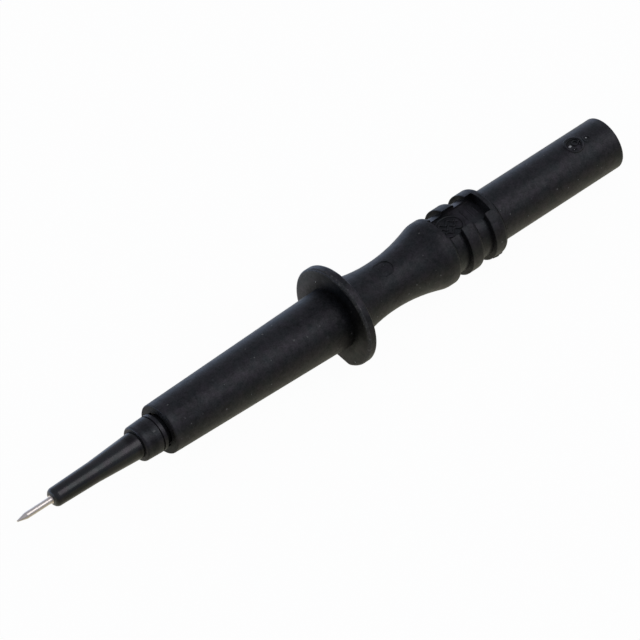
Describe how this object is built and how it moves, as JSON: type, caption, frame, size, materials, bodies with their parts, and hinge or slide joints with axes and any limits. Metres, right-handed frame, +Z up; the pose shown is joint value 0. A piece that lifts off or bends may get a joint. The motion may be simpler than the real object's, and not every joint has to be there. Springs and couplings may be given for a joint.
{
  "type": "test probe",
  "caption": "Hand-held test probe: pointed steel needle, moulded black grip with finger guard and narrow waist, banded rear body and a shrouded socket for a 4 mm plug.",
  "frame": {"origin": "centre of the bounding box's base, on the bench that the probe lies on", "axes": "+X along the probe towards its socket end, level with the bench; +Z up, with the label window facing up; the probe's own axis dips 2.57 degrees towards +X because it lies on the flat under its guard and on its rear rim"},
  "size_m": [0.1492, 0.0208, 0.0192],
  "materials": {
    "needle_steel": "bright, finely ground",
    "nose_plastic": "glossy black",
    "contact_metal": "turned, nickel plated",
    "core_plastic": "satin black",
    "grip_plastic": "matte black, slightly soft"
  },
  "bodies": {
    "root": {"needle": "needle_steel", "nose_sleeve": "nose_plastic", "contact_rod": "contact_metal", "collar": "core_plastic", "socket_sleeve": "core_plastic", "handle": "grip_plastic"}
  },
  "joints": []
}
